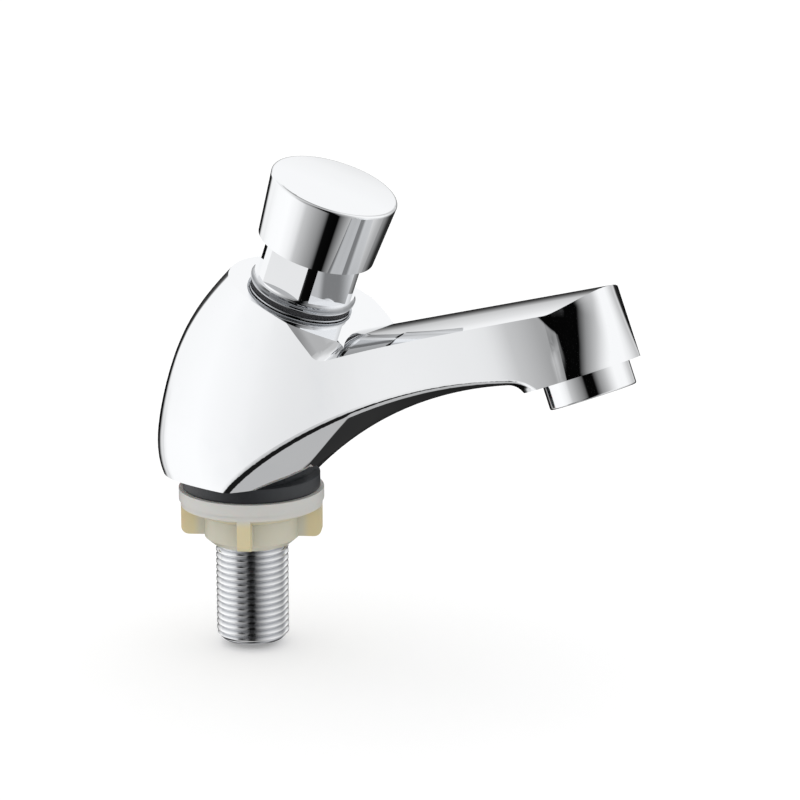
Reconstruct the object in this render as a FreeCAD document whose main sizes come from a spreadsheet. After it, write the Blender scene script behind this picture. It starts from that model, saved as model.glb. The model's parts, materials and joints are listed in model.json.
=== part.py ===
import FreeCAD, Part
import math
import os

import Sketcher
from FreeCAD import Placement, Rotation, Vector

# Self-closing pillar tap for a wash basin, in millimetres.
# +X points along the spout, +Z up. The origin is on the shank's axis, at the face that clamps on the basin.

SIZES = {
    # the leaning headwork: where its axis meets the sloping top face, and its lean towards the spout
    "head_x": 18.7,
    "head_z": 59.2,
    "head_lean": 20.9,
    # the outlet under the spout's tip: centre of its rim, and how far its jet leans forward
    "tip_x": 113.2,
    "tip_z": 49.6,
    "tip_lean": 22.4,
    # cast body: level, back and half width of six level sections, bottom to top
    "foot_back": 26.2,
    "foot_half": 21.8,
    "heel_level": 9.5,
    "heel_back": 27.8,
    "heel_half": 22.1,
    "calf_level": 21.5,
    "calf_back": 27.0,
    "calf_half": 21.6,
    "waist_level": 37.0,
    "waist_back": 22.3,
    "waist_half": 20.7,
    "chest_level": 53.0,
    "chest_back": 13.2,
    "chest_half": 19.9,
    "crown_level": 78.0,
    "crown_back": -9.5,
    "crown_half": 18.2,
    # cast body: the spout's half width at its root, middle and tip, and its side draft
    "spout_root_x": 48.0,
    "spout_root_half": 17.9,
    "spout_mid_x": 80.0,
    "spout_mid_half": 16.5,
    "spout_tip_half": 16.2,
    "spout_draft": 1.6,
    # cast body: the arch under the spout and how far across it bulges
    "arch_foot_x": 16.4,
    "arch_bulge": 5.75,
    "arch_end_back": 23.2,
    "arch_end_drop": 6.0,
    "arch_crown": 50.0,
    # cast body: the spout's top, its ridge height at one place, its rise and its crown
    "ridge_x": 66.6,
    "ridge_z": 58.9,
    "ridge_rise": 15.8,
    "ridge_crown": 36.0,
    # cast body: the neck that carries the sloping face, rounded in front
    "neck_front": 31.9,
    "neck_radius": 24.0,
    "neck_rake": 40.0,
    # cast body: rounded tip and the round boss at the outlet
    "tip_radius": 17.3,
    "tip_front": 14.5,
    "boss_radius": 16.8,
    "boss_round": 5.5,
    "arch_foot_round": 2.8,
    "arch_end_round": 1.3,
    "tip_corner_round": 5.0,
    "neck_round": 5.0,
    # running fits: sliding and turning pieces, threads, and what only lies close to its neighbour
    "slip": 0.05,
    "thread_slip": 0.08,
    "near_gap": 0.1,
    "air_gap": 0.3,
    # waterways in the body
    "thread_bore": 12.1,
    "thread_depth": 12.2,
    "chamber_bore": 11.0,
    "land_level": 27.5,
    "land_thick": 3.0,
    "land_bore": 7.2,
    "pocket_bore": 9.0,
    "pocket_level": 45.0,
    "duct_root_x": 16.0,
    "duct_root_z": 31.4,
    "duct_end_level": 10.4,
    "duct_bore": 6.5,
    "duct_spread": 6.5,
    "inlet_bore": 7.5,
    "inlet_top": 20.0,
    "outlet_bore": 11.0,
    "throat_bore": 7.0,
    "throat_depth": 13.0,
    "core_radius": 18.2,
    "core_top": 34.0,
    "core_front": 5.0,
    "core_wall": 2.6,
    # inlet shank, a half inch pipe thread
    "shank_radius": 10.4775,
    "shank_pitch": 1.814,
    "shank_groove": 1.16,
    "shank_crest": 0.34,
    "shank_root": 0.22,
    "shank_bottom": 45.2,
    "shank_chamfer": 1.6,
    "shank_socket": 13.0,
    "shank_bore": 6.8,
    "thread_top": 1.6,
    "thread_turn": 37.0,
    "ring_level": 9.0,
    "ring_wire": 0.7,
    "ring_groove": 1.5,
    # rubber gasket under the body
    "gasket_radius": 19.8,
    "gasket_thick": 4.2,
    "gasket_bore": 10.8,
    "gasket_round": 0.5,
    # plastic backnut with four wings
    "nut_flange_radius": 20.9,
    "nut_flange_thick": 3.4,
    "nut_step_radius": 20.4,
    "nut_step_level": 5.0,
    "nut_cone_radius": 14.0,
    "nut_cone_level": 8.0,
    "nut_hub_radius": 13.6,
    "nut_hub_level": 14.5,
    "nut_end_radius": 11.5,
    "nut_end_level": 16.3,
    "wing_reach": 20.3,
    "wing_top": 4.5,
    "wing_level": 14.3,
    "wing_thick": 3.8,
    "wing_round": 2.2,
    "wing_turn": 32.0,
    "wing_count": 4,
    # bonnet, levels up the push axis from the sloping face
    "washer_thick": 0.8,
    "washer_inner": 12.5,
    "washer_outer": 14.4,
    "ring_radius": 14.7,
    "ring_top": 1.2,
    "neck_groove": 14.1,
    "neck_groove_top": 1.5,
    "flange_radius": 15.1,
    "flange_top": 2.2,
    "flange_shoulder": 2.8,
    "hex_corner": 14.5,
    "hex_level": 3.9,
    "hex_top": 16.2,
    "hex_flats": 26.4,
    "hex_turn": 7.0,
    "barrel_radius": 12.0,
    "nose_radius": 10.8,
    "nose_level": 16.5,
    "cylinder_bore": 8.5,
    "cylinder_top": 7.5,
    "guide_seal_low": 10.5,
    "guide_seal_high": 12.7,
    "guide_seal_radius": 5.9,
    # push cap
    "cap_bottom": 15.0,
    "cap_top": 33.76,
    "cap_foot_radius": 16.6,
    "cap_head_radius": 18.1,
    "cap_inner": 15.2,
    "cap_roof": 28.5,
    "cap_boss": 7.0,
    "cap_boss_level": 26.0,
    "cap_hole_depth": 31.0,
    "cap_round": 0.8,
    "lock_nut_flats": 10.0,
    "lock_nut_thick": 4.0,
    # stem, piston and their seals
    "stem_radius": 4.0,
    "stem_thread": 3.0,
    "stem_waist": 3.0,
    "rod_radius": 2.5,
    "piston_low": 2.0,
    "piston_high": 7.0,
    "piston_radius": 8.2,
    "seal_low": 3.3,
    "seal_high": 5.9,
    "seal_root": 6.8,
    "seal_lip": 0.5,
    "clip_thick": 0.9,
    "clip_root": 2.1,
    "clip_radius": 4.2,
    # return spring, its seat and the ring that holds the seat
    "spring_wire": 0.6,
    "spring_radius": 6.6,
    "spring_coils": 5.5,
    "seat_top": 12.0,
    "seat_thick": 2.4,
    "seat_hole": 1.1,
    "seat_hole_circle": 4.6,
    "seat_hole_count": 6,
    "seat_clip_thick": 1.0,
    "seat_clip_deep": 0.8,
    "seat_clip_inner": 7.6,
    "seat_clip_opening": 5.0,
    # valve at the foot of the stem
    "valve_flange": 1.2,
    "valve_lip": 31.5,
    "valve_bore": 5.0,
    "valve_edge": 1.2,
    "valve_ring_level": 28.9,
    "valve_ring_wire": 0.5,
    "valve_ring_groove": 1.2,
    "pad_thick": 2.2,
    "pad_radius": 7.0,
    "holder_base": 2.2,
    "holder_rim": 1.2,
    "holder_radius": 8.2,
    "screw_head": 2.0,
    "screw_radius": 3.6,
    "screw_thread": 1.25,
    "screw_reach": 6.0,
    "screw_slot": 1.0,
    # aerator, levels up into the spout from the outlet's rim
    "aerator_radius": 11.9,
    "aerator_drop": 6.5,
    "aerator_reach": 5.0,
    "aerator_lip": 1.2,
    "aerator_mouth": 8.5,
    "aerator_inner": 9.6,
    "aerator_round": 0.5,
    "aerator_washer": 1.5,
    "aerator_washer_hole": 7.0,
    "insert_wall": 1.0,
    "insert_plate_level": 1.5,
    "insert_plate": 1.5,
    "insert_hole": 0.7,
    "insert_hole_circle": 5.5,
    "insert_hole_count": 14,
    "mesh_thick": 0.5,
    "mesh_pitch": 1.6,
    "mesh_hole": 1.05,
    "mesh_rim": 0.8,
}

doc = FreeCAD.newDocument("self_closing_basin_tap")
sheet = doc.addObject("Spreadsheet::Sheet", "Sizes")
for row, (name, number) in enumerate(SIZES.items(), 1):
    sheet.set(f"A{row}", name)
    sheet.set(f"B{row}", str(number))
    sheet.setAlias(f"B{row}", name)
doc.recompute()


class Size:
    """A dimension held both as a number and as the expression that ties an object to the sheet."""

    def __init__(self, number, text):
        self.number, self.text = number, text

    def __add__(self, other):
        return self.join(other, "+", lambda a, b: a + b)

    def __sub__(self, other):
        return self.join(other, "-", lambda a, b: a - b)

    def __mul__(self, other):
        return self.join(other, "*", lambda a, b: a * b)

    def __truediv__(self, other):
        return self.join(other, "/", lambda a, b: a / b)

    def __neg__(self):
        return Size(-self.number, f"(0 - {self.text})")

    def join(self, other, sign, work):
        other = as_size(other)
        return Size(work(self.number, other.number), f"({self.text} {sign} {other.text})")


def as_size(value):
    return value if isinstance(value, Size) else Size(float(value), f"{float(value):.6f}")


class Sizes:
    """The sheet's cells by name: s.shank_bore is a Size."""

    def __getattr__(self, name):
        return Size(float(sheet.get(name)), f"Sizes.{name}")


s = Sizes()


def number(name):
    return float(sheet.get(name))


def sine(angle):
    angle = as_size(angle)
    return Size(math.sin(math.radians(angle.number)), f"sin({angle.text})")


def cosine(angle):
    angle = as_size(angle)
    return Size(math.cos(math.radians(angle.number)), f"cos({angle.text})")


def lean_of(across, up):
    """Lean from upright of a line that runs this far across and up."""
    angle = math.degrees(math.atan2(across.number, up.number))
    return Size(angle, f"atan2({across.text}; {up.text})")


def span_of(across, up):
    """Length of a line that runs this far across and up."""
    return Size(math.hypot(across.number, up.number), f"sqrt({across.text}^2 + {up.text}^2)")


class Axis:
    """An axis in the tap's plane of symmetry: a start, and a lean towards or away from the spout's tip."""

    def __init__(self, x, z, tilt=None, forward=1):
        self.x, self.z, self.tilt, self.forward = as_size(x), as_size(z), tilt, forward

    def place(self, thing, level=0.0, side=0.0, turn=None):
        """Put an object on the axis at a level, its own Z along the axis, and tie its place to the sheet."""
        x, z = self.x, self.z + level
        if self.tilt is not None:
            x = self.x + sine(self.tilt) * self.forward * level
            z = self.z + cosine(self.tilt) * level
            thing.Placement = Placement(Vector(), Rotation(Vector(0, self.forward, 0), self.tilt.number))
            thing.setExpression("Placement.Rotation.Angle", self.tilt.text)
        if turn is not None:
            thing.Placement = Placement(Vector(), Rotation(Vector(0, 0, 1), turn.number))
            thing.setExpression("Placement.Rotation.Angle", turn.text)
        thing.Placement.Base = Vector(x.number, as_size(side).number, z.number)
        for letter, value in (("x", x), ("y", as_size(side)), ("z", z)):
            thing.setExpression(f"Placement.Base.{letter}", value.text)
        return thing


def lean(degrees):
    """Turn about Y that takes +Z towards +X."""
    return Rotation(Vector(0, 1, 0), degrees)


def head_place(level=0.0, across=0.0):
    """Place in the headwork's frame: its Z runs up the push axis from the sloping face."""
    turn = lean(number("head_lean"))
    start = Vector(number("head_x"), 0, number("head_z"))
    return Placement(start + turn.multVec(Vector(across, 0, level)), turn)


def tip_place(level=0.0, across=0.0):
    """Place in the outlet's frame: its Z runs up into the spout from the rim."""
    turn = lean(-number("tip_lean"))
    start = Vector(number("tip_x"), 0, number("tip_z"))
    return Placement(start + turn.multVec(Vector(across, 0, level)), turn)


def side_outline(level, back, half):
    """Level outline of the body's back and flanks, run on past the spout's tip."""
    middle = half - back
    draft = math.tan(math.radians(number("spout_draft"))) * (level - number("ridge_z") + 10)
    flank = [(number("spout_root_x"), number("spout_root_half") - draft),
             (number("spout_mid_x"), number("spout_mid_half") - draft),
             (number("tip_x"), number("spout_tip_half") - draft),
             (number("tip_x") + 30, number("spout_tip_half") - draft)]
    turns = [math.radians(degrees) for degrees in (0, 30, 60)]
    rear = [(middle - half * math.sin(turn), half * math.cos(turn)) for turn in turns]
    side = [Vector(x, y, level) for x, y in flank[::-1] + rear]
    far = [Vector(p.x, -p.y, p.z) for p in side[::-1]]
    curve = Part.BSplineCurve()
    curve.interpolate(side + [Vector(-back, 0, level)] + far)
    return Part.Wire([curve.toShape(), Part.makeLine(far[-1], side[0])])


def half_space(place, size=300.0):
    """Large block above a placed face."""
    block = Part.makeBox(2 * size, 2 * size, size, Vector(-size, -size, 0))
    block.Placement = place
    return block


def arch_cut():
    """Everything under the arch of the spout: a curve turned about an axis across the tap, with its crown."""
    foot = Vector(number("arch_foot_x"), 0, number("gasket_thick"))
    end = Vector(number("tip_x") - number("arch_end_back"), 0, number("tip_z") - number("arch_end_drop"))
    chord = end - foot
    bulge = Vector(-chord.z, 0, chord.x).normalize() * number("arch_bulge")
    circle = Part.Arc(foot, (foot + end) * 0.5 + bulge, end).toShape().Curve
    centre, radius, crown = circle.Center, circle.Radius, number("arch_crown")
    reach = number("heel_half") * 1.45
    rise = crown - math.sqrt(crown * crown - reach * reach)
    out = Vector(-math.sin(math.radians(20)), 0, math.cos(math.radians(20)))

    def at(across, distance):
        return centre + out * distance + Vector(0, across, 0)
    edge = Part.Arc(at(-reach, radius + rise), at(0, radius), at(reach, radius + rise)).toShape()
    depth = radius - number("tip_x") * 0.8
    sides = Part.makePolygon([at(reach, radius + rise), at(reach, depth),
                              at(-reach, depth), at(-reach, radius + rise)])
    face = Part.Face(Part.Wire([edge] + sides.Edges))
    face.rotate(centre, Vector(0, 1, 0), -45)
    return face.revolve(centre, Vector(0, 1, 0), 110)


def ridge_cut():
    """Everything above the spout's crowned top, in front of the neck."""
    crown, reach = number("ridge_crown"), number("heel_half") * 1.45
    drop = crown - math.sqrt(crown * crown - reach * reach)
    edge = Part.Arc(Vector(0, -reach, -drop), Vector(0, 0, 0), Vector(0, reach, -drop)).toShape()
    top = 90.0
    sides = Part.makePolygon([Vector(0, reach, -drop), Vector(0, reach, top), Vector(0, -reach, top),
                              Vector(0, -reach, -drop)])
    bar = Part.Face(Part.Wire([edge] + sides.Edges)).extrude(Vector(200, 0, 0))
    bar.translate(Vector(-top, 0, 0))
    ridge = Placement(Vector(number("ridge_x"), 0, number("ridge_z")), lean(-number("ridge_rise")))
    bar.Placement = ridge.multiply(bar.Placement)
    tilt = math.radians(number("head_lean") + number("neck_rake"))
    stretch = number("neck_radius") / math.cos(tilt)
    neck = Part.makeCylinder(number("neck_radius"), 120, Vector(0, 0, -60))
    neck.Placement = Placement(head_place(0, number("neck_front") - stretch).Base, lean(-number("neck_rake")))
    behind = Part.makeBox(200, 80, 120, Vector(-200, -40, -60))
    behind.Placement = neck.Placement
    kept = neck.fuse(behind).cut(half_space(head_place()))
    tool = bar.cut(kept)

    def neck_root(centre, edge):
        ahead = number("head_x") + number("neck_front") - centre.x
        third = number("neck_radius") / 3
        beside = third / 2 < abs(centre.y) < reach - third / 4
        low = centre.z < number("head_z") - third
        return beside and low and 0 < ahead < number("neck_radius") and edge.Length > third
    return rounded(tool, number("neck_round"), neck_root)


def tip_cut():
    """What lies in front of the spout's round tip, and below its rim."""
    radius = number("tip_radius")
    centre = number("tip_front") - radius
    ahead = Part.makeBox(90, 100, 130, Vector(centre, -50, -40))
    ahead = ahead.cut(Part.makeCylinder(radius, 140, Vector(centre, 0, -45)))
    below = Part.makeBox(120, 100, 60, Vector(-32, -50, -60))
    both = ahead.fuse(below)
    both.Placement = tip_place()
    return both


def near(value, size, slack=0.01):
    return abs(value - as_size(size).number) < slack


def rounded(shape, radius, wanted):
    """Round the edges whose centre of mass passes the test."""
    return shape.makeFillet(radius, [edge for edge in shape.Edges if wanted(edge.CenterOfMass, edge)])


def cast_shell():
    """Outside of the body, solid."""
    wires = []
    for name in ("foot", "heel", "calf", "waist", "chest", "crown"):
        level = number("gasket_thick" if name == "foot" else name + "_level")
        wires.append(side_outline(level, number(name + "_back"), number(name + "_half")))
    hull = Part.makeLoft(wires, True, False)
    boss_radius = number("boss_radius")
    boss = Part.makeCylinder(boss_radius, 60, Vector(0, 0, -40))
    boss.Placement = tip_place()
    outlet = Vector(number("tip_x"), 0, number("tip_z") - number("arch_end_drop"))

    def boss_root(centre, edge):
        return (centre - outlet).Length < boss_radius * 1.43 and edge.Length > boss_radius * 1.2
    arch = rounded(arch_cut().cut(boss), number("boss_round"), boss_root)
    return hull.cut([arch, ridge_cut(), tip_cut()])


def finished_shell():
    """The solid outside with its cast and polished rounds."""
    shell = cast_shell()
    rim, tip_radius = number("spout_tip_half"), number("tip_radius")

    def tip_corner(centre, edge):
        ahead = centre.x > number("tip_x") - tip_radius / 4
        return ahead and abs(centre.y) > rim * 0.88 and edge.Length > tip_radius * 0.6
    shell = rounded(shell, number("tip_corner_round"), tip_corner)

    wide, narrow = number("arch_foot_round"), number("arch_end_round")
    for side in (-1, 1):
        for edge in shell.Edges:
            centre = edge.CenterOfMass
            low = centre.z < number("ridge_z") * 0.66 and centre.y * side > number("foot_half") * 0.7
            if low and edge.Length > number("tip_x") * 0.8:
                foot_first = edge.valueAt(edge.FirstParameter).x < edge.valueAt(edge.LastParameter).x
                first, last = (wide, narrow) if foot_first else (narrow, wide)
                shell = shell.makeFillet(first, last, [edge])
                break
    return shell


def drill(name, axis, radius, low, high, side=0.0):
    """A round hole's tool, from one level to another."""
    tool = doc.addObject("Part::Cylinder", name)
    tool.setExpression("Radius", as_size(radius).text)
    tool.setExpression("Height", (as_size(high) - low).text)
    return axis.place(tool, low, side)


def joined(name, pieces):
    group = doc.addObject("Part::MultiFuse", name)
    group.Shapes = pieces
    return group


def less(name, base, tool):
    cut = doc.addObject("Part::Cut", name)
    cut.Base = base
    cut.Tool = tool
    return cut


def plane_sketch(body, name, role):
    """A sketch on one of the body's own origin planes."""
    sketch = body.newObject("Sketcher::SketchObject", name)
    plane = next(item for item in body.Origin.OriginFeatures if item.Role == role)
    sketch.AttachmentSupport = [(plane, "")]
    sketch.MapMode = "FlatFace"
    return sketch


def tie(sketch, kind, value, *ends):
    """A dimension of a sketch tied to the sheet."""
    index = sketch.addConstraint(Sketcher.Constraint(kind, *ends, value.number))
    label = f"{kind.lower()}_{index}"
    sketch.renameConstraint(index, label)
    sketch.setExpression(f"Constraints.{label}", value.text)


def loop(sketch, corners):
    """A closed outline of straight lines, each corner tied to the sheet."""
    corners = [(as_size(x), as_size(y)) for x, y in corners]
    points = [Vector(x.number, y.number, 0) for x, y in corners]
    first = sketch.GeometryCount
    count = len(points)
    for i, point in enumerate(points):
        sketch.addGeometry(Part.LineSegment(point, points[(i + 1) % count]))
    for i in range(count):
        sketch.addConstraint(Sketcher.Constraint("Coincident", first + i, 2, first + (i + 1) % count, 1))
    for i, corner in enumerate(corners):
        for kind, axis, value in (("DistanceX", -2, corner[0]), ("DistanceY", -1, corner[1])):
            if value.text == as_size(0).text:
                sketch.addConstraint(Sketcher.Constraint("PointOnObject", first + i, 1, axis))
            else:
                tie(sketch, kind, value, -1, 1, first + i, 1)


def ring_hole(sketch, radius, x=0.0, y=0.0):
    """A circle in a sketch, its centre and radius tied to the sheet."""
    x, y, radius = as_size(x), as_size(y), as_size(radius)
    item = sketch.addGeometry(Part.Circle(Vector(x.number, y.number, 0), Vector(0, 0, 1), radius.number))
    tie(sketch, "Radius", radius, item)
    if x.text == y.text == as_size(0).text:
        sketch.addConstraint(Sketcher.Constraint("Coincident", item, 3, -1, 1))
    else:
        tie(sketch, "DistanceX", x, -1, 1, item, 3)
        tie(sketch, "DistanceY", y, -1, 1, item, 3)


def new_body(label, axis, level=0.0, turn=None):
    body = doc.addObject("PartDesign::Body", label)
    body.Label = label
    return axis.place(body, level, turn=turn)


def turned(label, axis, corners, turn=None):
    """A body of revolution: its outline is a closed loop of (radius, level) corners."""
    body = new_body(label, axis, turn=turn)
    sketch = plane_sketch(body, label + "_outline", "XZ_Plane")
    loop(sketch, corners)
    spin = body.newObject("PartDesign::Revolution", label + "_turned")
    spin.Profile = sketch
    spin.ReferenceAxis = (sketch, ["V_Axis"])
    spin.Angle = 360
    return body


def hexagon(flats, turn):
    """The six corners of a hexagon with this size across its flats."""
    corner = flats / 2 / cosine(30)
    return [(corner * cosine(turn + 60 * i), corner * sine(turn + 60 * i)) for i in range(6)]


def plate(label, body, low, high, outline=None, circles=(), cut=False):
    """Raise a level sketch, or cut it away, between two levels of a body."""
    feature = label + ("_cut" if cut else "_pad")
    sketch = plane_sketch(body, feature + "_sketch", "XY_Plane")
    sketch.setExpression("AttachmentOffset.Base.z", as_size(low).text)
    if outline:
        loop(sketch, outline)
    for circle in circles:
        ring_hole(sketch, *circle)
    doc.recompute()
    before = body.Shape.Volume if cut else 0
    piece = body.newObject("PartDesign::Pocket" if cut else "PartDesign::Pad", feature)
    piece.Profile = sketch
    piece.setExpression("Length", (as_size(high) - low).text)
    piece.Reversed = cut
    doc.recompute()
    if cut and body.Shape.Volume > before - 0.01:
        raise ValueError(feature + " cuts nothing")
    return piece


def round_edges(body, radius, wanted):
    """Round the edges of a body that pass the test."""
    doc.recompute()
    last = body.Tip
    names = [f"Edge{i}" for i, edge in enumerate(last.Shape.Edges, 1) if wanted(edge)]
    if not names:
        raise ValueError(body.Label + " has no such edge")
    soft = body.newObject("PartDesign::Fillet", body.Label + "_rounds")
    soft.Base = (last, names)
    soft.setExpression("Radius", radius.text)


def round_rim(body, radius, rim, level):
    """Round the circular edge of a body with this radius and level."""
    def wanted(edge):
        return (edge.Curve.TypeId == "Part::GeomCircle" and near(edge.Curve.Radius, rim)
                and near(edge.Curve.Center.z, level))
    round_edges(body, radius, wanted)


def seal_ring(label, axis, level, radius, wire):
    """A rubber ring of round section."""
    ring = doc.addObject("Part::Torus", label)
    ring.Label = label
    ring.setExpression("Radius1", as_size(radius).text)
    ring.setExpression("Radius2", as_size(wire).text)
    return axis.place(ring, level)


def shape_feature(label, shape, place=None):
    piece = doc.addObject("Part::Feature", label)
    piece.Label = label
    piece.Shape = shape
    if place is not None:
        piece.Placement = place
    return piece


deck = Axis(0, 0)
head = Axis(s.head_x, s.head_z, s.head_lean)
tip = Axis(s.tip_x, s.tip_z, s.tip_lean, -1)
duct_across = s.tip_x - sine(s.tip_lean) * s.duct_end_level - s.duct_root_x
duct_up = s.tip_z + cosine(s.tip_lean) * s.duct_end_level - s.duct_root_z
duct_length = span_of(duct_across, duct_up)
duct = Axis(s.duct_root_x, s.duct_root_z, lean_of(duct_across, duct_up))


def tap_body():
    """Cast body: the solid outside less its waterways and the hollow behind the inlet."""
    shell = shape_feature("cast_shell", finished_shell())
    socket = s.shank_radius + s.thread_slip
    land = s.land_level + s.land_thick
    flat = doc.addObject("Part::Box", "duct_middle")
    flat.setExpression("Length", (s.duct_bore * 2).text)
    flat.setExpression("Width", (s.duct_spread * 2).text)
    flat.setExpression("Height", duct_length.text)
    turn = duct.tilt
    duct.place(flat, 0, -s.duct_spread)
    flat.setExpression("Placement.Base.x", (duct.x - cosine(turn) * s.duct_bore).text)
    flat.setExpression("Placement.Base.z", (duct.z + sine(turn) * s.duct_bore).text)
    tools = [
        drill("bonnet_thread", head, s.thread_bore, -s.thread_depth, 20),
        drill("chamber", head, s.chamber_bore, -s.land_level, 0),
        drill("seat_hole", head, s.land_bore, -land, 0),
        drill("inlet_pocket", head, s.pocket_bore, -s.pocket_level, -land),
        drill("duct_left", duct, s.duct_bore, 0, duct_length, s.duct_spread),
        drill("duct_right", duct, s.duct_bore, 0, duct_length, -s.duct_spread),
        flat,
        drill("inlet_hole", deck, s.inlet_bore, 0, s.inlet_top),
        drill("shank_hole", deck, socket, 0, s.shank_socket),
        drill("outlet_thread", tip, s.outlet_bore, -10, s.aerator_reach + s.aerator_washer),
        drill("outlet_throat", tip, s.throat_bore, 0, s.throat_depth),
    ]
    hollow = drill("core", deck, s.core_radius, 0, s.core_top)
    front = doc.addObject("Part::Box", "core_limit")
    front.setExpression("Length", (s.core_radius * 2).text)
    front.setExpression("Width", (s.core_radius * 2).text)
    front.setExpression("Height", s.core_top.text)
    front.setExpression("Placement.Base.x", s.core_front.text)
    front.setExpression("Placement.Base.y", (-s.core_radius).text)
    kept = joined("core_walls", [
        front,
        drill("inlet_wall", deck, socket + s.core_wall, 0, s.core_top),
        drill("chamber_wall", head, s.chamber_bore + s.core_wall, -s.pocket_level - s.core_wall * 2, 0),
    ])
    tools.append(less("core_space", hollow, kept))
    body = less("tap_body", shell, joined("waterways", tools))
    body.Label = "tap_body"
    return body


def inlet_shank():
    """Threaded pipe with a cut helical thread and a groove for its sealing ring."""
    outer, bottom, bore = s.shank_radius, s.shank_bottom, s.shank_bore
    groove = s.ring_groove / 2
    root = outer - s.ring_wire * 2
    blank = turned("shank_blank", deck, [
        (bore, -bottom), (outer - s.shank_chamfer, -bottom), (outer, s.shank_chamfer - bottom),
        (outer, s.ring_level - groove), (root, s.ring_level - groove), (root, s.ring_level + groove),
        (outer, s.ring_level + groove), (outer, s.shank_socket), (bore, s.shank_socket)])
    pitch, depth, over = number("shank_pitch"), number("shank_groove"), 0.25
    root_half, crest_half = number("shank_root") / 2, (pitch - number("shank_crest")) / 2
    wide = crest_half + over * (crest_half - root_half) / depth
    turns = math.ceil((number("shank_bottom") - number("thread_top")) / pitch) + 1
    start = -number("thread_top") - crest_half - turns * pitch
    floor, rim = number("shank_radius") - depth, number("shank_radius") + over
    corners = [Vector(floor, 0, start - root_half), Vector(rim, 0, start - wide),
               Vector(rim, 0, start + wide), Vector(floor, 0, start + root_half)]
    one_turn = Part.makeHelix(pitch, pitch, number("shank_radius"))
    spine = []
    for turn in range(turns):
        line = one_turn.copy()
        line.translate(Vector(0, 0, start + turn * pitch))
        spine.extend(line.Edges)
    cutter = Part.BRepOffsetAPI.MakePipeShell(Part.Wire(spine))
    cutter.setBiNormalMode(Vector(0, 0, 1))
    cutter.add(Part.makePolygon(corners + corners[:1]))
    cutter.build()
    cutter.makeSolid()
    thread = cutter.shape()
    thread.rotate(Vector(0, 0, 0), Vector(0, 0, 1), number("thread_turn"))
    shank = less("inlet_shank", blank, shape_feature("thread_groove", thread))
    shank.Label = "inlet_shank"
    return shank


def shank_seal():
    outer = s.shank_radius + s.thread_slip
    wire = s.ring_wire
    return seal_ring("shank_o_ring", deck, s.ring_level, outer - wire - s.slip, wire)


def base_gasket():
    gasket = turned("base_gasket", deck, [(s.gasket_bore, 0), (s.gasket_radius, 0),
                                          (s.gasket_radius, s.gasket_thick), (s.gasket_bore, s.gasket_thick)])
    round_rim(gasket, s.gasket_round, s.gasket_radius, 0)
    return gasket


def backnut():
    """Plastic nut with a flange that clamps the basin, a cone, a hub and wings to turn it by."""
    bore = s.shank_radius + s.thread_slip
    body = turned("backnut", deck, [
        (bore, 0), (s.nut_flange_radius, 0), (s.nut_flange_radius, -s.nut_flange_thick),
        (s.nut_step_radius, -s.nut_flange_thick), (s.nut_step_radius, -s.nut_step_level),
        (s.nut_cone_radius, -s.nut_cone_level), (s.nut_hub_radius, -s.nut_cone_level),
        (s.nut_hub_radius, -s.nut_hub_level), (s.nut_end_radius, -s.nut_end_level),
        (bore, -s.nut_end_level)],
        turn=s.wing_turn)
    sketch = plane_sketch(body, "wing_outline", "XZ_Plane")
    inner = bore + s.wing_round / 2
    loop(sketch, [(inner, -s.wing_top), (s.wing_reach, -s.wing_top), (s.wing_reach, -s.wing_level),
                  (inner, -s.wing_level)])
    wing = body.newObject("PartDesign::Pad", "wing")
    wing.Profile = sketch
    wing.setExpression("Length", s.wing_thick.text)
    wing.Midplane = True
    doc.recompute()
    ring = body.newObject("PartDesign::PolarPattern", "wings")
    ring.Originals = [wing]
    ring.Axis = (next(item for item in body.Origin.OriginFeatures if item.Role == "Z_Axis"), [""])
    ring.Angle = 360
    ring.setExpression("Occurrences", s.wing_count.text)
    body.Tip = ring
    reach, level = number("wing_reach"), -number("wing_level")

    def wing_corner(edge):
        centre = edge.CenterOfMass
        return near(math.hypot(centre.x, centre.y), reach) and near(centre.z, level)
    round_edges(body, s.wing_round, wing_corner)
    return body


def bonnet():
    """Brass bonnet: thread and cylinder below, stepped flange, hexagon and stem guide above."""
    low, guide = s.cylinder_bore, s.stem_radius + s.slip
    clip_low = s.seat_top + s.seat_thick + s.seat_clip_thick + s.near_gap * 2
    clip_high = s.seat_top + s.seat_thick
    clip_root = low + s.seat_clip_deep
    body = turned("bonnet", head, [
        (low, -s.nose_level), (s.nose_radius, -s.nose_level), (s.nose_radius, -s.thread_depth),
        (s.barrel_radius, -s.thread_depth), (s.barrel_radius, s.washer_thick),
        (s.ring_radius, s.washer_thick), (s.ring_radius, s.ring_top), (s.neck_groove, s.ring_top),
        (s.neck_groove, s.neck_groove_top), (s.flange_radius, s.neck_groove_top),
        (s.flange_radius, s.flange_top), (s.hex_corner, s.flange_shoulder), (s.hex_corner, s.hex_top),
        (guide, s.hex_top),
        (guide, s.guide_seal_high), (s.guide_seal_radius, s.guide_seal_high),
        (s.guide_seal_radius, s.guide_seal_low), (guide, s.guide_seal_low), (guide, s.cylinder_top),
        (low, s.cylinder_top), (low, -clip_high), (clip_root, -clip_high), (clip_root, -clip_low),
        (low, -clip_low)])
    plate("hexagon", body, s.hex_level, s.hex_top + 1, outline=hexagon(s.hex_flats, s.hex_turn),
          circles=[(s.hex_corner * 1.5,)], cut=True)
    return body


def bonnet_washer():
    return turned("bonnet_washer", head, [(s.washer_inner, 0), (s.washer_outer, 0),
                                          (s.washer_outer, s.washer_thick), (s.washer_inner, s.washer_thick)])


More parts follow.
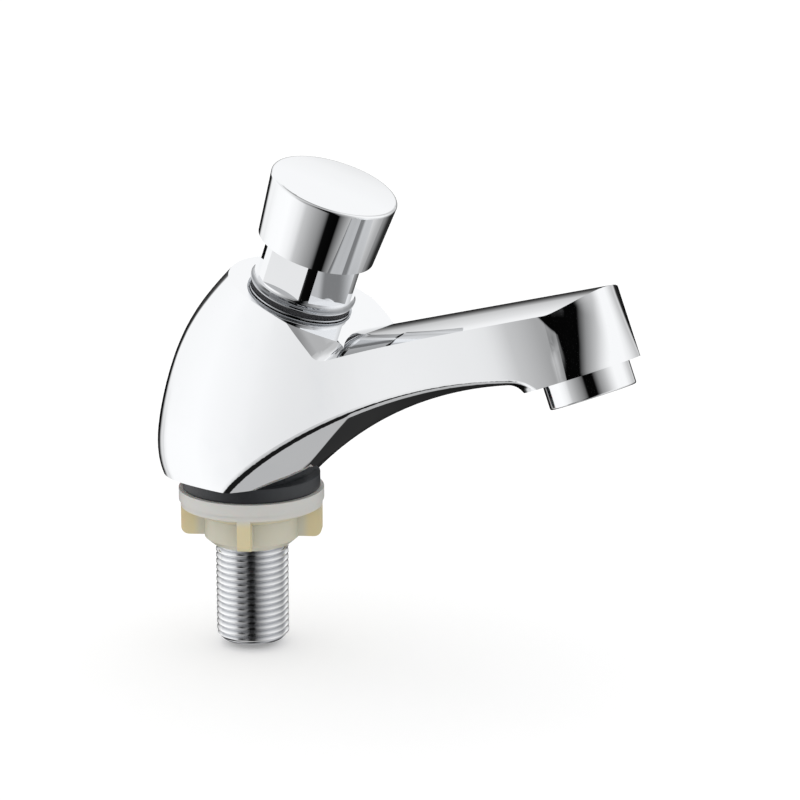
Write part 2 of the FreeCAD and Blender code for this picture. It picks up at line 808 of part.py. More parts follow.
def push_cap():
    """Tapered push button with a threaded boss under its roof."""
    hole = s.stem_thread + s.near_gap
    cap = turned("push_cap", head, [
        (hole, s.cap_boss_level), (s.cap_boss, s.cap_boss_level), (s.cap_boss, s.cap_roof),
        (s.cap_inner, s.cap_roof), (s.cap_inner, s.cap_bottom), (s.cap_foot_radius, s.cap_bottom),
        (s.cap_head_radius, s.cap_top), (0, s.cap_top), (0, s.cap_hole_depth), (hole, s.cap_hole_depth)])
    round_rim(cap, s.cap_round, s.cap_head_radius, s.cap_top)
    return cap


def cap_lock_nut():
    body = new_body("cap_lock_nut", head)
    low = s.cap_boss_level - s.lock_nut_thick
    plate("cap_lock_nut", body, low, s.cap_boss_level, outline=hexagon(s.lock_nut_flats, s.hex_turn),
          circles=[(s.stem_thread + s.near_gap,)])
    return body


def stem():
    """Push stem: thread for the cap, sliding shank, waist in the piston and rod to the valve."""
    nut_low = s.cap_boss_level - s.lock_nut_thick
    clip_high = s.piston_low
    clip_low = s.piston_low - s.clip_thick - s.near_gap
    end = s.valve_lip + s.near_gap
    screw_hole = s.screw_thread + s.near_gap
    return turned("stem", head, [
        (screw_hole, -end), (s.rod_radius, -end), (s.rod_radius, clip_low), (s.clip_root, clip_low),
        (s.clip_root, clip_high), (s.stem_waist, clip_high), (s.stem_waist, s.piston_high),
        (s.stem_radius, s.piston_high), (s.stem_radius, nut_low), (s.stem_thread, nut_low),
        (s.stem_thread, s.cap_hole_depth - s.near_gap), (0, s.cap_hole_depth - s.near_gap),
        (0, s.screw_reach - end), (screw_hole, s.screw_reach - end)])


def stem_seal():
    wire = (s.guide_seal_radius - s.stem_radius) / 2 - s.slip
    level = (s.guide_seal_low + s.guide_seal_high) / 2
    return seal_ring("stem_o_ring", head, level, (s.guide_seal_radius + s.stem_radius) / 2, wire)


def piston():
    """Piston that slides in the bonnet's cylinder, with a groove for its lip seal."""
    bore = s.stem_waist + s.slip
    return turned("piston", head, [
        (bore, s.piston_low), (s.piston_radius, s.piston_low), (s.piston_radius, s.seal_low),
        (s.seal_root, s.seal_low), (s.seal_root, s.seal_high), (s.piston_radius, s.seal_high),
        (s.piston_radius, s.piston_high), (bore, s.piston_high)])


def piston_lip_seal():
    """Rubber cup whose lip wipes the cylinder."""
    root, low, high = s.seal_root + s.slip, s.seal_low + s.slip, s.seal_high - s.near_gap
    lip = s.cylinder_bore - s.slip
    web = (low + high) / 2
    return turned("piston_lip_seal", head, [
        (root, low), (s.piston_radius, low), (lip, high), (lip - s.seal_lip, high), ((root + lip) / 2, web),
        (root + s.seal_lip / 2, high), (root, high)])


def piston_clip():
    """Ring that holds the piston up against the stem's shoulder, open on one side."""
    body = new_body("piston_circlip", head)
    high = s.piston_low - s.slip
    plate("piston_circlip", body, high - s.clip_thick, high,
          circles=[(s.clip_radius,), (s.clip_root + s.slip,)])
    slot = s.clip_root * 0.8
    plate("piston_circlip", body, high - s.clip_thick, high,
          outline=[(s.clip_root / 2, -slot), (s.clip_radius * 2, -slot), (s.clip_radius * 2, slot),
                   (s.clip_root / 2, slot)], cut=True)
    return body


def biarc(start, start_way, end, end_way):
    """Two arcs from one point and direction to the next."""
    span = end - start
    both = start_way + end_way
    a = 2 * (start_way.dot(end_way) - 1)
    b = -2 * span.dot(both)
    c = span.dot(span)
    reach = c / (-b) if abs(a) < 1e-9 else (-b - math.sqrt(b * b - 4 * a * c)) / (2 * a)
    knee, knee_end = start + start_way * reach, end - end_way * reach
    middle = (knee + knee_end) * 0.5
    edges = []
    for first, bend, last in ((start, knee, middle), (middle, knee_end, end)):
        chord = (last - first).Length / 2
        angle = math.acos(min(1.0, chord / reach))
        foot = (first + last) * 0.5
        out = bend - foot
        crown = foot + out * (chord * math.tan(angle / 2) / out.Length)
        edges.append(Part.Arc(first, crown, last).toShape())
    return edges


def return_spring():
    """Coil spring between its seat and the piston, wound as one unbroken wire."""
    wire, radius, coils = number("spring_wire"), number("spring_radius"), number("spring_coils")
    low = wire - number("seat_top")
    rise = number("piston_low") - wire - low
    steps = round(coils * 4)

    def at(i):
        turn = 2 * math.pi * coils * i / steps
        point = Vector(radius * math.cos(turn), radius * math.sin(turn), low + rise * i / steps)
        way = Vector(-radius * math.sin(turn), radius * math.cos(turn), rise / (2 * math.pi * coils))
        return point, way.normalize()
    edges = []
    for i in range(steps):
        edges += biarc(*at(i), *at(i + 1))
    path = Part.Wire(edges)
    start, way = at(0)
    section = Part.Wire([Part.makeCircle(wire, start, way)])
    winder = Part.BRepOffsetAPI.MakePipeShell(path)
    winder.add(section)
    winder.build()
    winder.makeSolid()
    points = path.discretize(Number=steps * 12)
    far = round(len(points) / coils / 2)
    gap = min((p - q).Length for i, p in enumerate(points) for q in points[i + far:]) - 2 * wire
    print(f"spring: least gap between turns {gap:.2f} mm")
    return shape_feature("return_spring", winder.shape(), head_place())


def spring_seat():
    """Plate across the cylinder's mouth that carries the spring, with holes for the water."""
    body = new_body("spring_seat", head)
    holes = []
    for i in range(int(number("seat_hole_count"))):
        turn = as_size(360.0 * i + 10) / s.seat_hole_count
        holes.append((s.seat_hole, s.seat_hole_circle * cosine(turn), s.seat_hole_circle * sine(turn)))
    plate("spring_seat", body, -s.seat_top - s.seat_thick, -s.seat_top,
          circles=[(s.cylinder_bore - s.near_gap,), (s.rod_radius + s.air_gap,)] + holes)
    return body


def seat_clip():
    """Spring ring that holds the seat in the bonnet, open on one side."""
    body = new_body("spring_seat_circlip", head)
    high = -s.seat_top - s.seat_thick - s.near_gap
    low = high - s.seat_clip_thick
    plate("spring_seat_circlip", body, low, high,
          circles=[(s.cylinder_bore + s.seat_clip_deep - s.near_gap,), (s.seat_clip_inner,)])
    half = s.seat_clip_opening / 2
    plate("spring_seat_circlip", body, low, high,
          outline=[(s.seat_clip_inner / 2, -half), (s.seat_clip_inner * 2, -half),
                   (s.seat_clip_inner * 2, half), (s.seat_clip_inner / 2, half)], cut=True)
    return body


def valve_seat():
    """Brass seat in the body's land, with the lip that the valve closes on."""
    top = s.valve_flange - s.land_level
    outer, groove = s.land_bore - s.near_gap, s.valve_ring_groove / 2
    root = outer - s.valve_ring_wire * 2
    return turned("valve_seat", head, [
        (s.valve_bore, top), (s.pocket_bore, top), (s.pocket_bore, -s.land_level), (outer, -s.land_level),
        (outer, groove - s.valve_ring_level), (root, groove - s.valve_ring_level),
        (root, -groove - s.valve_ring_level), (outer, -groove - s.valve_ring_level),
        (outer, s.valve_edge / 2 - s.valve_lip), (outer - s.valve_edge, -s.valve_lip),
        (s.valve_bore, -s.valve_lip)])


def valve_seat_seal():
    return seal_ring("valve_seat_o_ring", head, -s.valve_ring_level,
                     s.land_bore - s.valve_ring_wire - s.slip, s.valve_ring_wire)


def valve_washer():
    top = -s.valve_lip - s.near_gap
    hole = s.screw_thread + s.near_gap
    return turned("valve_washer", head, [
        (hole, top - s.pad_thick), (s.pad_radius, top - s.pad_thick), (s.pad_radius, top), (hole, top)])


def valve_holder():
    """Metal cup that carries the rubber washer."""
    floor = -s.valve_lip - s.near_gap - s.pad_thick
    inner = s.pad_radius + s.slip
    hole = s.screw_thread + s.near_gap
    return turned("valve_holder", head, [
        (hole, floor - s.holder_base), (s.holder_radius, floor - s.holder_base),
        (s.holder_radius, floor + s.holder_rim), (inner, floor + s.holder_rim), (inner, floor),
        (hole, floor)])


def valve_screw():
    """Screw up into the stem that clamps the holder and its washer."""
    seat = -s.valve_lip - s.near_gap - s.pad_thick - s.holder_base
    end = s.screw_reach - s.valve_lip - s.near_gap * 6
    body = turned("valve_screw", head, [
        (0, seat - s.screw_head), (s.screw_radius, seat - s.screw_head), (s.screw_radius, seat),
        (s.screw_thread, seat), (s.screw_thread, end), (0, end)])
    half = s.screw_slot / 2
    plate("valve_screw", body, seat - s.screw_head - 1, seat - s.screw_head + s.screw_slot,
          outline=[(-s.screw_radius * 2, -half), (s.screw_radius * 2, -half), (s.screw_radius * 2, half),
                   (-s.screw_radius * 2, half)], cut=True)
    return body


def aerator_housing():
    """Chromed ring that screws up into the outlet."""
    thread = s.outlet_bore - s.thread_slip
    ring = turned("aerator_housing", tip, [
        (s.aerator_mouth, -s.aerator_drop), (s.aerator_radius, -s.aerator_drop), (s.aerator_radius, -s.slip),
        (thread, -s.slip), (thread, s.aerator_reach), (s.aerator_inner, s.aerator_reach),
        (s.aerator_inner, s.aerator_lip - s.aerator_drop), (s.aerator_mouth, s.aerator_lip - s.aerator_drop)])
    round_rim(ring, s.aerator_round, s.aerator_radius, -s.aerator_drop)
    return ring


def aerator_washer():
    low = s.aerator_reach
    return turned("aerator_washer", tip, [
        (s.aerator_washer_hole, low), (s.outlet_bore - s.near_gap, low),
        (s.outlet_bore - s.near_gap, low + s.aerator_washer),
        (s.aerator_washer_hole, low + s.aerator_washer)])


def insert_floor():
    """Level of the mesh's underside, on the housing's lip."""
    return s.aerator_lip - s.aerator_drop + s.slip


def aerator_core():
    """Plastic insert: a sleeve, and a plate with a ring of jets."""
    outer = s.aerator_inner - s.slip
    inner, low = outer - s.insert_wall, insert_floor() + s.mesh_thick
    high = s.aerator_reach - s.slip
    plate_low = s.insert_plate_level
    body = turned("aerator_core", tip, [
        (inner, low), (outer, low), (outer, high), (inner, high), (inner, plate_low + s.insert_plate),
        (0, plate_low + s.insert_plate), (0, plate_low), (inner, plate_low)])
    jets = []
    for i in range(int(number("insert_hole_count"))):
        turn = as_size(360.0 * i + 10) / s.insert_hole_count
        jets.append((s.insert_hole, s.insert_hole_circle * cosine(turn), s.insert_hole_circle * sine(turn)))
    plate("jets", body, plate_low - 0.5, plate_low + s.insert_plate + 0.5, circles=jets, cut=True)
    return body


def aerator_mesh():
    """Disc with a grid of square holes, across the jet."""
    low, thick = insert_floor().number, number("mesh_thick")
    outer = number("aerator_inner") - number("slip")
    pitch, hole = number("mesh_pitch"), number("mesh_hole")
    limit = number("aerator_mouth") - number("mesh_rim")
    reach = math.floor(limit / pitch)
    disc = Part.makeCylinder(outer, thick, Vector(0, 0, low))
    holes = []
    for i in range(-reach, reach + 1):
        for j in range(-reach, reach + 1):
            if math.hypot(abs(i * pitch) + hole / 2, abs(j * pitch) + hole / 2) < limit:
                holes.append(Part.makeBox(hole, hole, thick * 3,
                                          Vector(i * pitch - hole / 2, j * pitch - hole / 2, low - thick)))
    return shape_feature("aerator_mesh", disc.cut(holes), tip_place())


PIECES = [tap_body, inlet_shank, shank_seal, base_gasket, backnut, bonnet, bonnet_washer, push_cap,
          cap_lock_nut, stem, stem_seal, piston, piston_lip_seal, piston_clip, return_spring, spring_seat,
          seat_clip, valve_seat, valve_seat_seal, valve_washer, valve_holder, valve_screw, aerator_housing,
          aerator_washer, aerator_core, aerator_mesh]

pieces = [make() for make in PIECES]
doc.recompute()
for item in doc.Objects:
    if any(word in item.State for word in ("Invalid", "Error")):
        raise ValueError(f"{item.Label} failed: {item.State}")
for piece in pieces:
    if piece.Shape.isNull() or not piece.Shape.isValid() or not piece.Shape.Solids:
        raise ValueError(f"{piece.Label} has no valid solid")
os.makedirs("parts", exist_ok=True)
for piece in pieces:
    piece.Shape.exportStep(f"parts/{piece.Label}.step")
    print(f"{piece.Label}: {len(piece.Shape.Solids)} solid, {piece.Shape.Volume / 1000:.3f} cm3")
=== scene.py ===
import bpy, json, math
from mathutils import Matrix, Vector


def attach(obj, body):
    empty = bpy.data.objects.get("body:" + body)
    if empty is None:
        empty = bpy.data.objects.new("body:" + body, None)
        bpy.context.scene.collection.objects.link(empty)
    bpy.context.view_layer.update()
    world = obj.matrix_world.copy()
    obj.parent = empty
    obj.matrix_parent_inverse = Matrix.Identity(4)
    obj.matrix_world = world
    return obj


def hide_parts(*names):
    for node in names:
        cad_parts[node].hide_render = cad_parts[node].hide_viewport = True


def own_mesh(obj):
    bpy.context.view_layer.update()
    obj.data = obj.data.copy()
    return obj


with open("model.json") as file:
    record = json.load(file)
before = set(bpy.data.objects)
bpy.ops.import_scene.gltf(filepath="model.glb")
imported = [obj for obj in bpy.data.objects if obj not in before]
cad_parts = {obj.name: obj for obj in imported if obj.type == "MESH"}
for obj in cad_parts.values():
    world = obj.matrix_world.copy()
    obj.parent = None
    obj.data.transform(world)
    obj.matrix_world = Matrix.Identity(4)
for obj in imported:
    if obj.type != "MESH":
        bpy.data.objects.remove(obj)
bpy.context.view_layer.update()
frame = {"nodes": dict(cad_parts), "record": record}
bpy.ops.object.select_all(action="DESELECT")
scene = bpy.context.scene
scene.view_settings.view_transform = "Standard"

# the tap's main lines in its upright middle plane, as (x, z) in metres: x along the spout, z up
HEAD_WAY = (0.3567, 0.9342)       # the way the push button leans
HEAD_FACE = (0.0187, 0.0592)      # where its axis meets the body's sloping face
BUTTON_TOP = (0.0312, 0.0920)     # the middle of the button's top
TIP_WAY = (0.9246, 0.3811)        # the way the spout's round tip points
TIP_MIDDLE = (0.1132, 0.0496)     # the middle of the tip's underside, where the aerator goes in
BEAD_PITCH = 0.0021               # from bead to bead on the bonnet's flange
FLOOR_LEVEL = -0.0472             # 2 mm under the shank's end

# the camera that took the photograph
CAMERA_AZIMUTH, CAMERA_ELEVATION = 36.01, 14.32
CAMERA_PLACE = (0.54308, -0.67462, 0.24613)
LENS, SENSOR = 140.74, 36.0

# brightness of the tent's wall by compass direction, in degrees from the spout's own:
# first level with the tap and above, then below it
TENT = [
    (-180, 1.02), (-138, 1.05), (-123, 0.98), (-114, 0.82), (-107, 0.60), (-90, 0.38), (-78, 0.24),
    (-71, 0.12), (-67, 0.0015), (-44, 0.0015), (-40, 0.09), (-36, 0.17), (-30, 0.30), (-24, 0.38),
    (-12, 0.55), (0, 0.77), (12, 0.95), (20, 1.03), (48, 1.03), (60, 0.92), (72, 0.74), (84, 0.58),
    (92, 0.66), (104, 1.02), (180, 1.02)]
TENT_LOW = [
    (-180, 0.92), (-170, 1.06), (-138, 1.08), (-123, 0.98), (-114, 0.84), (-107, 0.60), (-90, 0.40),
    (-78, 0.28), (-72, 0.18), (-66, 0.003), (-45, 0.0015), (-41, 0.11), (-36, 0.19), (-24, 0.38),
    (-12, 0.58), (4, 0.80), (20, 0.86), (48, 0.70), (60, 0.54), (72, 0.40), (82, 0.24), (90, 0.10),
    (97, 0.02), (120, 0.03), (128, 0.003), (151, 0.004), (158, 0.10), (164, 0.55), (169, 0.80)]
# how the dark cloth behind the tap pales upwards, by degrees above the horizon
CLOTH = [(-14, 0.0), (-4, 0.02), (2, 0.06), (6, 0.18), (10, 0.38), (13, 0.60), (18, 0.70), (23, 0.80),
         (28, 0.95), (33, 1.0)]


class Link:
    """One output of a node, so that shader maths can be written as an expression."""

    def __init__(self, tree, socket):
        self.tree, self.socket = tree, socket

    def maths(self, operation, *others):
        """A Math node on this value and the others."""
        values = dict(enumerate((self, *others)))
        return Shader(self.tree).node("ShaderNodeMath", {"operation": operation}, values)

    def step(self, low, high):
        """Smooth step from 0 at low to 1 at high."""
        return Shader(self.tree).node("ShaderNodeMapRange", {"interpolation_type": "SMOOTHSTEP"},
                                      {"Value": self, "From Min": low, "From Max": high})

    def between(self, low=0.0, high=1.0):
        """The value, held between low and high."""
        return Shader(self.tree).node("ShaderNodeClamp", None, {"Value": self, "Min": low, "Max": high})

    def __add__(self, other):
        return self.maths("ADD", other)

    def __sub__(self, other):
        return self.maths("SUBTRACT", other)

    def __rsub__(self, other):
        return self * -1 + other

    def __mul__(self, other):
        return self.maths("MULTIPLY", other)

    def __truediv__(self, other):
        return self.maths("DIVIDE", other)

    def __abs__(self):
        return self.maths("ABSOLUTE")

    __radd__ = __add__
    __rmul__ = __mul__


class Shader:
    """A material's or the world's node tree. Colours are given as red, green and blue."""

    def __init__(self, tree):
        self.tree = tree

    def node(self, kind, settings=None, values=None, output=0):
        """Add a node, set its settings, then feed its sockets; gives one output, or all for None."""
        item = self.tree.nodes.new(kind)
        for name, value in (settings or {}).items():
            if name == "stops":
                ramp = item.color_ramp
                while len(ramp.elements) < len(value):
                    ramp.elements.new(0.5)
                for element, (position, colour) in zip(ramp.elements, value):
                    element.position, element.color = position, (*colour, 1.0)
            else:
                setattr(item, name, value)
        for name, value in (values or {}).items():
            socket = item.inputs[name]
            if isinstance(value, Link):
                self.tree.links.new(value.socket, socket)
            elif socket.type == "RGBA":
                socket.default_value = (*value, 1.0)
            else:
                socket.default_value = value
        if output is None:
            return [Link(self.tree, socket) for socket in item.outputs]
        return Link(self.tree, item.outputs[output])

    def split(self, vector):
        """The three parts of a vector."""
        return self.node("ShaderNodeSeparateXYZ", None, {0: vector}, output=None)

    def blend(self, amount, first, second):
        """Mix two colours."""
        return self.node("ShaderNodeMix", {"data_type": "RGBA"}, {0: amount, 6: first, 7: second}, output=2)

    def read_off(self, rows, value, low, high):
        """The grey that rows of (value, brightness) give for a value between low and high."""
        stops = [((at - low) / (high - low), grey(level)) for at, level in rows]
        return self.node("ShaderNodeValToRGB", {"stops": stops}, {"Fac": (value - low) / (high - low)})


def grey(level):
    return (level, level, level)


def aim(way, height):
    """Unit vector by compass direction and height above the horizon, in degrees."""
    way, height = math.radians(way), math.radians(height)
    return (math.cos(way) * math.cos(height), math.sin(way) * math.cos(height), math.sin(height))


def studio():
    """White tent round the tap, open towards the camera, a dark cloth behind it; only mirrors see them.

    Matt skins are lit by plain white from all round.
    """
    world = bpy.data.worlds.new("tent")
    scene.world = world
    world.use_nodes = True
    world.node_tree.nodes.clear()
    light = Shader(world.node_tree)
    way = light.node("ShaderNodeTexCoord", output="Generated")
    x, y, z = light.split(way)
    bearing = y.maths("ARCTAN2", x) * (180 / math.pi)
    height = z.maths("ARCSINE") * (180 / math.pi)

    # what hangs in the tent or stands under it, as the share of the view that it covers
    table = height.step(-50.0, -64.0)
    open_top = height.step(58.0, 74.0)
    panel = height.step(26.0, 38.0) * bearing.step(0.0, -25.0) * 0.6
    behind = bearing.step(92.0, 103.0) * bearing.step(162.0, 153.0)
    cloth = behind * (1 - light.read_off(CLOTH, height, -20.0, 40.0)) * height.step(-16.0, -14.0)
    towards_edge = light.node("ShaderNodeVectorMath", {"operation": "DOT_PRODUCT"},
                              {0: way, 1: aim(-103.0, -53.0)}, output="Value")
    table_edge = towards_edge.step(math.cos(math.radians(16)), math.cos(math.radians(11)))
    layers = [(table, 0.50), (open_top, 0.24), (panel, 0.80), (cloth, 0.003), (table_edge, 0.01)]

    colour = light.blend(height.step(-4.0, -11.0), light.read_off(TENT, bearing, -180.0, 180.0),
                         light.read_off(TENT_LOW, bearing, -180.0, 180.0))
    for share, brightness in layers:
        colour = light.blend(share, colour, grey(brightness))
    mirror = light.node("ShaderNodeLightPath", output="Is Glossy Ray")
    colour = light.blend(mirror, grey(1.0), colour)
    ground = light.node("ShaderNodeBackground", None, {"Color": colour, "Strength": 1.0})
    light.node("ShaderNodeOutputWorld", None, {"Surface": ground}, output=None)


def camera():
    """The photograph's own view."""
    azimuth, elevation = math.radians(CAMERA_AZIMUTH), math.radians(CAMERA_ELEVATION)
    back = Vector((math.sin(azimuth) * math.cos(elevation), -math.cos(azimuth) * math.cos(elevation),
                   math.sin(elevation)))
    right = Vector((math.cos(azimuth), math.sin(azimuth), 0.0))
    top = back.cross(right)
    data = bpy.data.cameras.new("camera")
    data.lens, data.sensor_width = LENS, SENSOR
    item = bpy.data.objects.new("camera", data)
    scene.collection.objects.link(item)
    turn = Matrix((right, top, back)).transposed().to_4x4()
    item.matrix_world = Matrix.Translation(Vector(CAMERA_PLACE)) @ turn
    scene.camera = item


def floor():
    """Pale floor under the shank's end, a little brighter to the camera; mirrors see the tent instead."""
    bpy.ops.mesh.primitive_plane_add(size=6, location=(0, 0, FLOOR_LEVEL))
    item = bpy.context.object
    item.name = "floor"
    item.visible_glossy = False
    mat = bpy.data.materials.new("pale_floor")
    mat.use_nodes = True
    mat.node_tree.nodes.clear()
    paint = Shader(mat.node_tree)
    seen = paint.node("ShaderNodeLightPath", output="Is Camera Ray")
    matt = paint.node("ShaderNodeBsdfDiffuse", None, {"Color": grey(0.85)})
    glow = paint.node("ShaderNodeEmission", None, {"Color": grey(1.0), "Strength": seen * 0.22})
    both = paint.node("ShaderNodeAddShader", None, {0: matt, 1: glow})
    paint.node("ShaderNodeOutputMaterial", None, {"Surface": both}, output=None)
    item.data.materials.append(mat)


def material(name, **values):
    """A material on one Principled shader; gives it, a shader wrapper and the shader's node."""
    mat = bpy.data.materials.new(name)
    mat.use_nodes = True
    surface = mat.node_tree.nodes["Principled BSDF"]
    for socket, value in values.items():
        surface.inputs[socket.replace("_", " ")].default_value = value
    return mat, Shader(mat.node_tree), surface


def feed(surface, **links):
    """Link values to the shader's sockets, each named with _ for its spaces."""
    for name, link in links.items():
        link.tree.links.new(link.socket, surface.inputs[name.replace("_", " ")])


def place(paint):
    """The point of the surface, in the tap's own metres."""
    return paint.node("ShaderNodeTexCoord", output="Object")


def skin_way(paint):
    """The way the surface faces."""
    return paint.node("ShaderNodeNewGeometry", output="Normal")


def ahead_of(start, way, x, z):
    """Distance of (x, z) from start, along way."""
    return (x - start[0]) * way[0] + (z - start[1]) * way[1]


def above(start, way, x, z):
    """Distance of (x, z) from start, square to way and on its upper side."""
    return (z - start[1]) * way[0] - (x - start[0]) * way[1]


def from_axis(x, y):
    """Distance from the shank's upright axis."""
    return (x * x + y * y).maths("SQRT")


def turned(paint, skin, x=0.0, y=0.0, z=0.0):
    """The way the surface faces, pushed along x, y and z."""
    push = paint.node("ShaderNodeCombineXYZ", None, {0: x, 1: y, 2: z})
    moved = paint.node("ShaderNodeVectorMath", {"operation": "ADD"}, {0: skin, 1: push})
    return paint.node("ShaderNodeVectorMath", {"operation": "NORMALIZE"}, {0: moved})


def mottle(paint, scale, detail=3.0, roughness=0.5, stretch=(1, 1, 1)):
    """Soft noise from 0 to 1; stretch squeezes or draws it out along an axis."""
    where = paint.node("ShaderNodeMapping", None, {"Vector": place(paint), "Scale": stretch})
    return paint.node("ShaderNodeTexNoise", None,
                      {"Vector": where, "Scale": scale, "Detail": detail, "Roughness": roughness})


def bumped(paint, height, distance):
    """A normal raised by height, where 1 stands for distance in metres."""
    return paint.node("ShaderNodeBump", None, {"Height": height, "Distance": distance})


def chrome(name, shape=None, painted_shade=None):
    """Bright plating with a faint wipe haze and fine hairlines.

    shape turns the normal, and the last argument says where painted shade dims the plating.
    """
    bright, hazy, shaded = (0.905, 0.915, 0.93), (0.875, 0.89, 0.91), (0.20, 0.21, 0.225)
    mat, paint, surface = material(name, Metallic=1.0)
    haze = mottle(paint, 45).step(0.52, 0.78)
    hair = mottle(paint, 500, 2.0, stretch=(1, 1, 0.12))
    tone = paint.blend(haze, bright, hazy)
    # painted shade: the plating's colour darkened where shade falls, not a colour the plating has
    if painted_shade:
        tone = paint.blend(painted_shade(paint), tone, shaded)
    fine = {"Height": hair, "Distance": 0.0000006}
    if shape:
        fine["Normal"] = shape(paint)
    feed(surface, Base_Color=tone, Roughness=haze * 0.03 + hair * 0.02 + 0.015,
         Normal=paint.node("ShaderNodeBump", None, fine))
    return mat


def domed_top(paint):
    """The push button's top, very slightly domed."""
    dome = 3.5      # how far the normal leans for each metre from the middle
    x, y, z = paint.split(place(paint))
    skin = skin_way(paint)
    top = paint.split(skin)[2].step(0.85, 0.92)
    back = above(BUTTON_TOP, HEAD_WAY, x, z)
    return turned(paint, skin, x=top * back * -dome, y=top * y * dome)


def flange_level(paint):
    """Height along the head's axis above the sloping face."""
    x, y, z = paint.split(place(paint))
    return ahead_of(HEAD_FACE, HEAD_WAY, x, z)


def flange_painted_shade(paint):
    """Painted shade in the turned grooves of the bonnet's flange, weaker on the beads."""
    level = flange_level(paint)
    bead = (level * (2 * math.pi / BEAD_PITCH)).maths("COSINE")
    return level.step(0.0036, 0.0026) * (mottle(paint, 120) * 0.5 + bead * 0.25 + 0.40)


def beaded_flange(paint):
    """The bonnet's flange, whose rim is turned in fine rounded beads."""
    level = flange_level(paint)
    rim = level.step(0.0034, 0.0029)
    lean = (level * (2 * math.pi / BEAD_PITCH)).maths("SINE") * rim * 0.7 - rim * 0.2
    return turned(paint, skin_way(paint), x=lean * HEAD_WAY[0], z=lean * HEAD_WAY[1])


def polished_casting(paint):
    """The body's skin: flanks that turn in to the nose, a nose that rolls over at its top, a fuller belly.

    Lengths are in metres from the middle of the tip, and each push is a share of the normal's own length.
    """
    x, y, z = paint.split(place(paint))
    skin = skin_way(paint)
    skin_x, skin_y, skin_z = paint.split(skin)
    ahead = ahead_of(TIP_MIDDLE, TIP_WAY, x, z)
    up = above(TIP_MIDDLE, TIP_WAY, x, z)
    flank = abs(skin_y).step(0.45, 0.8)
    wall = 1 - skin_z.step(0.45, 0.8)
    upper = up.step(0.005, 0.012)

    # the flank turns in gently along the spout, then more over the last 27 mm before the nose's corner
    tuck, drift = 0.28, 0.05
    last = ((ahead + 0.024) / 0.027).between()
    corner = (ahead - upper * 0.0018).step(0.0013, 0.0040)
    turning = (last * last * tuck + ahead.step(-0.062, -0.022) * drift) * flank * (1 - corner)

    # the upper part of the corner is a shoulder that faces one steady way, forwards as 0.72 is to 1 sideways
    forwards = 0.72
    edge = ahead + (up - 0.012).between() * 0.65
    shoulder = flank * upper * edge.step(0.0053, 0.0064) * ahead.step(0.0100, 0.0078)
    shoulder = shoulder * (abs(skin_y) * forwards - skin_x - turning)

    # the nose is flatter across at its foot and crowned above, and rolls over at its top
    nose = ahead.step(0.0, 0.006) * wall
    crown = ((up - 0.005) * 24.0).between(-0.1, 0.3) * (y * 140.0).between(-1.0, 1.0) * nose
    roll = up.step(0.008, 0.021) * ahead.step(0.006, 0.012) * wall * 0.16

    # the underside is fuller across than the mesh, between the creases that run down to the foot
    fuller = (y * 52.0).between(-0.44, 0.44)
    belly = skin_z.step(-0.2, -0.5) * (x * 0.6 - abs(y) - 0.0112).step(0.0008, -0.0010)
    return turned(paint, skin, x=turning + shoulder, y=belly * fuller + crown, z=roll)


def plated_thread():
    """Plating on a cut thread: duller, and darker down in the groove, where shade is painted into its
    colour.
    """
    # the groove's darker tone is painted shade; the crest's is the plating's own
    groove, crest = (0.68, 0.69, 0.71), (0.93, 0.935, 0.945)
    mat, paint, surface = material("plated_thread", Metallic=1.0)
    x, y, z = paint.split(place(paint))
    raised = from_axis(x, y).step(0.0094, 0.0104)
    grain = mottle(paint, 900, 2.0)
    feed(surface, Base_Color=paint.blend(raised, groove, crest),
         Roughness=grain * 0.10 + (1 - raised) * 0.12 + 0.05, Normal=bumped(paint, grain, 0.000002))
    return mat


def ivory_plastic():
    """Ivory plastic: a pale flange, yellower wings, faint flow marks from the mould."""
    flange, hub, wing = (0.63, 0.628, 0.612), (0.62, 0.60, 0.49), (0.72, 0.62, 0.36)
    dusty = (0.60, 0.57, 0.47)
    mat, paint, surface = material("ivory_plastic", Subsurface_Weight=0.15, Subsurface_Scale=0.002)
    x, y, z = paint.split(place(paint))
    below_flange = z.step(-0.0042, -0.0075)
    in_wing = below_flange * from_axis(x, y).step(0.0145, 0.0172)
    flow = mottle(paint, 260, 4.0, 0.6, stretch=(1, 1, 0.3))
    tone = paint.blend(in_wing, paint.blend(below_flange, flange, hub), wing)
    tone = paint.blend(mottle(paint, 110) * 0.35, tone, dusty)
    feed(surface, Base_Color=tone, Roughness=flow * 0.16 + 0.30, Normal=bumped(paint, flow, 0.00003))
    return mat


def gasket_rubber():
    """Black moulded rubber, slightly bloomed, with a fine matt grain."""
    black, bloomed = (0.012, 0.013, 0.016), (0.034, 0.038, 0.043)
    mat, paint, surface = material("gasket_rubber")
    bloom = mottle(paint, 90, 4.0, 0.6)
    grain = mottle(paint, 1800, 2.0)
    feed(surface, Base_Color=paint.blend(bloom, black, bloomed),
         Roughness=bloom * 0.2 + grain * 0.1 + 0.28, Normal=bumped(paint, grain, 0.00002))
    return mat


def turned_metal(name, bright, dull, rough):
    """Bare turned metal with fine tool rings and dull patches."""
    mat, paint, surface = material(name, Metallic=1.0)
    cloud = mottle(paint, 160)
    rings = mottle(paint, 260, 1.0, stretch=(0.15, 0.15, 12))
    feed(surface, Base_Color=paint.blend(cloud, dull, bright),
         Roughness=cloud * 0.1 + rings * 0.08 + rough, Normal=bumped(paint, rings, 0.000004))
    return mat


def moulded(name, pale, dark, rough, grain_size, depth):
    """Moulded or pressed stuff: soft colour clouds, and a fine grain whose depth is in metres."""
    mat, paint, surface = material(name)
    grain = mottle(paint, grain_size)
    feed(surface, Base_Color=paint.blend(mottle(paint, 140), dark, pale),
         Roughness=grain * 0.15 + rough, Normal=bumped(paint, grain, depth))
    return mat


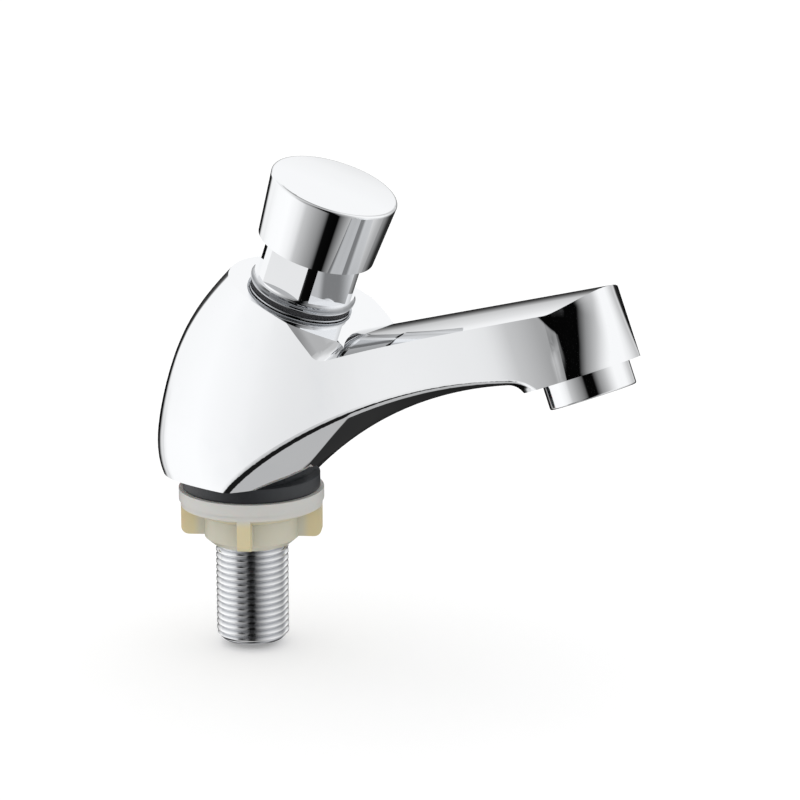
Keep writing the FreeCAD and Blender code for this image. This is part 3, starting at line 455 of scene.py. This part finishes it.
FINISHES = {
    "chrome": chrome("polished_chrome"),
    "button": chrome("polished_button", domed_top),
    # the bonnet's flange has shade painted into its grooves
    "bonnet": chrome("polished_bonnet", beaded_flange, flange_painted_shade),
    "casting": chrome("polished_casting", polished_casting),
    "thread": plated_thread(),
    "gasket_rubber": gasket_rubber(),
    "ivory_plastic": ivory_plastic(),
    "fibre": moulded("fibre_washer", (0.055, 0.055, 0.060), (0.028, 0.028, 0.032), 0.6, 1500, 0.00003),
    "brass": turned_metal("turned_brass", (0.86, 0.66, 0.33), (0.72, 0.51, 0.22), 0.18),
    "stainless": turned_metal("stainless_steel", (0.72, 0.72, 0.71), (0.60, 0.60, 0.59), 0.16),
    "spring_steel": turned_metal("spring_steel", (0.60, 0.60, 0.61), (0.46, 0.46, 0.48), 0.22),
    "white_plastic": moulded("white_plastic", (0.84, 0.84, 0.83), (0.77, 0.77, 0.76), 0.32, 700, 0.00001),
    "black_rubber": moulded("black_rubber", (0.03, 0.03, 0.032), (0.015, 0.015, 0.017), 0.42, 1500, 0.00002),
}

# nodes whose finish isn't their material slot's plain one
OWN_FINISH = {"inlet_shank": "thread", "tap_body": "casting", "push_cap": "button", "bonnet": "bonnet"}


def dress():
    """Give each CAD node its own finish, or the finish of its material slot."""
    for part in frame["record"]["subparts"]:
        finish = OWN_FINISH.get(part["node"], part["material_slot"])
        for slot in frame["nodes"][part["node"]].material_slots:
            slot.material = FINISHES[finish]


def return_coil():
    """The return spring's coils again as a piece of its own; nothing here shortens it as the button goes
    down 5.5 mm.
    """
    wound = frame["nodes"]["return_spring"]
    coil = bpy.data.objects.new("return_coil", wound.data.copy())
    scene.collection.objects.link(coil)
    bpy.context.view_layer.objects.active = coil
    coil.select_set(True)
    bpy.ops.object.mode_set(mode="EDIT")
    bpy.ops.mesh.select_all(action="SELECT")
    bpy.ops.mesh.remove_doubles(threshold=0.000001)
    bpy.ops.object.mode_set(mode="OBJECT")
    coil.select_set(False)
    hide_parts("return_spring")
    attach(coil, "tap")
    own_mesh(coil)


dress()
return_coil()
studio()
camera()
floor()
